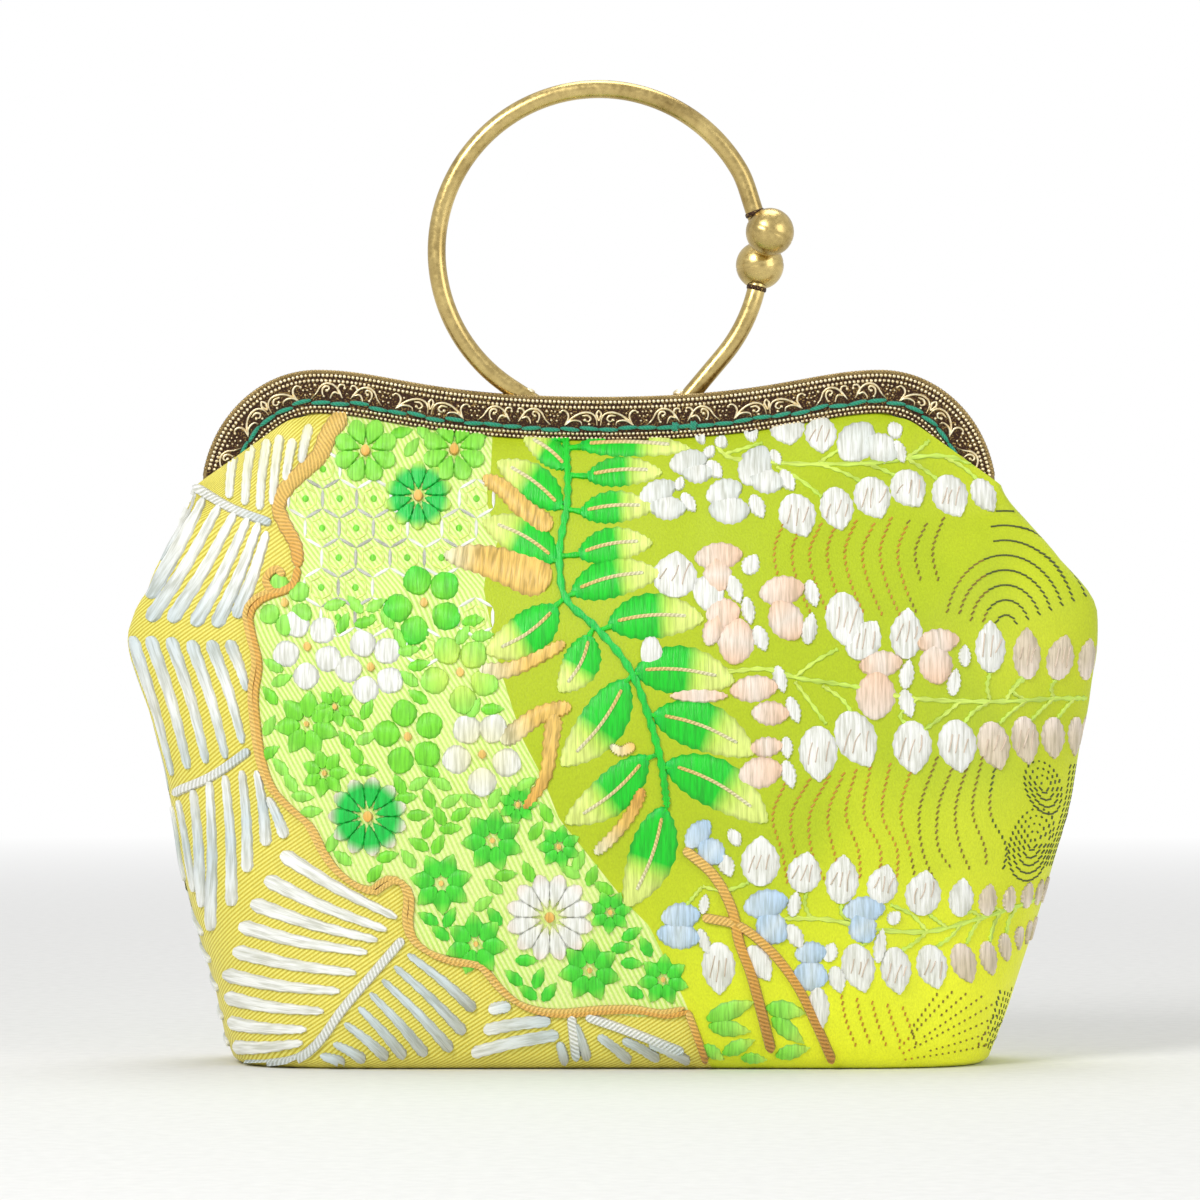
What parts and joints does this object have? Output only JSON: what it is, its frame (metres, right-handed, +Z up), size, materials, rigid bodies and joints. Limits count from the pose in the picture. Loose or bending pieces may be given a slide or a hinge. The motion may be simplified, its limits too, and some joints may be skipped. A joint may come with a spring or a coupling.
{
  "type": "frame handbag",
  "caption": "Small brocade handbag sewn into a wavy metal purse frame that opens on end rivets, with a metal ring handle that closes in two balls.",
  "frame": {"origin": "on the ground, under the middle of the bag's base", "axes": "+Z up, -Y towards the front, +X along the purse frame"},
  "size_m": [0.2516, 0.072, 0.2545],
  "materials": {
    "brocade": "woven silk brocade with raised coloured motifs",
    "lining": "plain satin lining",
    "card": "stiff board",
    "antique_brass": "antique brass, dark in its hollows",
    "thread": "thick teal sewing thread"
  },
  "bodies": {
    "pouch": {"front_panel": "brocade", "back_panel": "brocade", "front_lining": "lining", "back_lining": "lining", "base_board": "card", "left_rivet": "antique_brass", "right_rivet": "antique_brass"},
    "front_half": {"front_frame": "antique_brass", "front_thread": "thread", "long_arc": "antique_brass", "upper_ball": "antique_brass"},
    "rear_half": {"rear_frame": "antique_brass", "rear_thread": "thread", "short_arc": "antique_brass", "lower_ball": "antique_brass"}
  },
  "joints": [
    {"name": "front_opening", "type": "hinge", "parent": "pouch", "child": "front_half", "pos_m": [0, 0, 0.146], "axis": [1, 0, 0], "range_deg": [0, 50]},
    {"name": "rear_opening", "type": "hinge", "parent": "pouch", "child": "rear_half", "pos_m": [0, 0, 0.146], "axis": [-1, 0, 0], "range_deg": [0, 50]}
  ]
}
